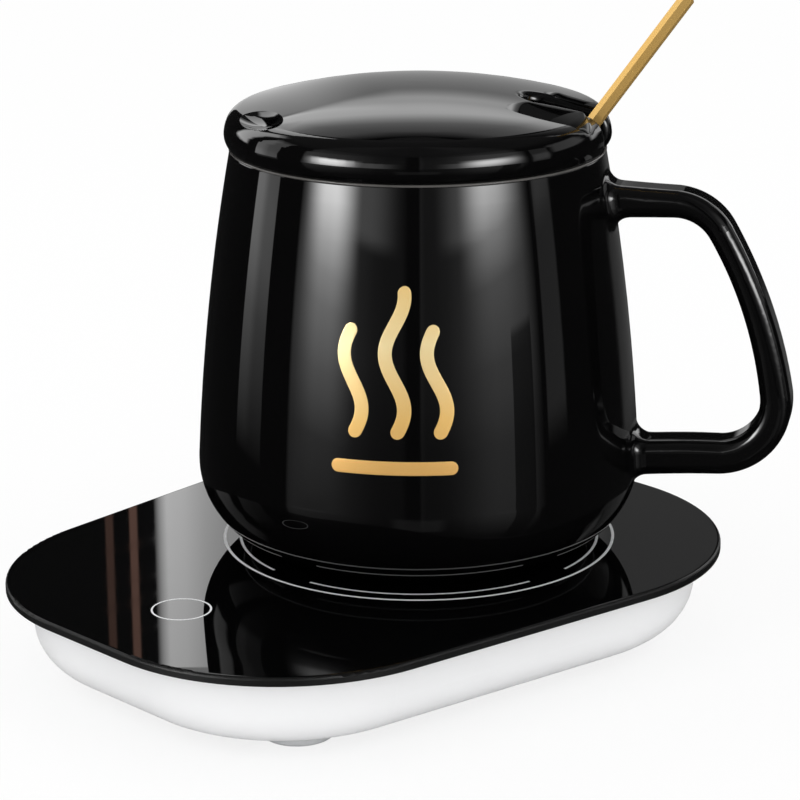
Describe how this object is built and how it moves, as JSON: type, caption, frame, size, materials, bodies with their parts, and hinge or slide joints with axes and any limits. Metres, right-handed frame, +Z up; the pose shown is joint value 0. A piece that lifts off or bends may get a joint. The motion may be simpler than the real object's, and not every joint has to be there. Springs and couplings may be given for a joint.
{
  "type": "mug with warming plate",
  "caption": "Lidded ceramic mug with a loop handle and a stirring spoon, standing on a flat warming plate with a touch key, a glass top and a shallow tub.",
  "frame": {"origin": "on the table, under the mug's axis", "axes": "+X along the plate towards the mug's end, away from the touch key; +Z up"},
  "size_m": [0.1459, 0.1268, 0.1364],
  "materials": {
    "black_glass": "polished, opaque black with fine white printed rings",
    "adhesive": "matt",
    "frame_plastic": "moulded",
    "white_plastic": "satin white",
    "foot_rubber": "soft, light grey",
    "screw_steel": "plated",
    "spreader_aluminium": "milled",
    "amber_film": "amber polyimide",
    "insulation_fibre": "felted white fibre",
    "bracket_steel": "pressed sheet",
    "cutout_can": "drawn can",
    "sensor_cup": "drawn cup",
    "board_laminate": "green solder mask",
    "dark_foam": "conductive foam",
    "led_lens": "milky",
    "inlet_plastic": "moulded black",
    "red_lead": "insulated wire",
    "white_lead": "insulated wire",
    "black_glaze": "deep gloss black",
    "gold_metal": "brushed gold plating"
  },
  "bodies": {
    "base": {"glass_plate": "black_glass", "glass_adhesive": "adhesive", "panel_frame": "frame_plastic", "housing_tub": "white_plastic", "foot_1": "foot_rubber", "foot_2": "foot_rubber", "foot_3": "foot_rubber", "foot_4": "foot_rubber", "housing_screws": "screw_steel", "heater_plate": "spreader_aluminium", "heating_film": "amber_film", "insulation_pad": "insulation_fibre", "heater_bracket": "bracket_steel", "bracket_screws": "screw_steel", "thermal_cutout": "cutout_can", "temperature_sensor": "sensor_cup", "control_board": "board_laminate", "board_screws": "screw_steel", "touch_foam": "dark_foam", "indicator_led": "led_lens", "power_inlet": "inlet_plastic", "inlet_leads": "red_lead", "heater_leads": "white_lead"},
    "mug_body": {"mug": "black_glaze"},
    "lid_body": {"lid": "black_glaze"},
    "spoon_body": {"spoon": "gold_metal"}
  },
  "joints": [
    {"name": "mug_lift", "type": "slide", "parent": "base", "child": "mug_body", "axis": [0, 0, 1], "range_m": [0, 0.1]},
    {"name": "lid_lift", "type": "slide", "parent": "mug_body", "child": "lid_body", "axis": [0, 0, 1], "range_m": [0, 0.06]},
    {"name": "spoon_slide", "type": "slide", "parent": "mug_body", "child": "spoon_body", "axis": [0.3238, -0.4855, 0.8121], "range_m": [0, 0.042]}
  ]
}
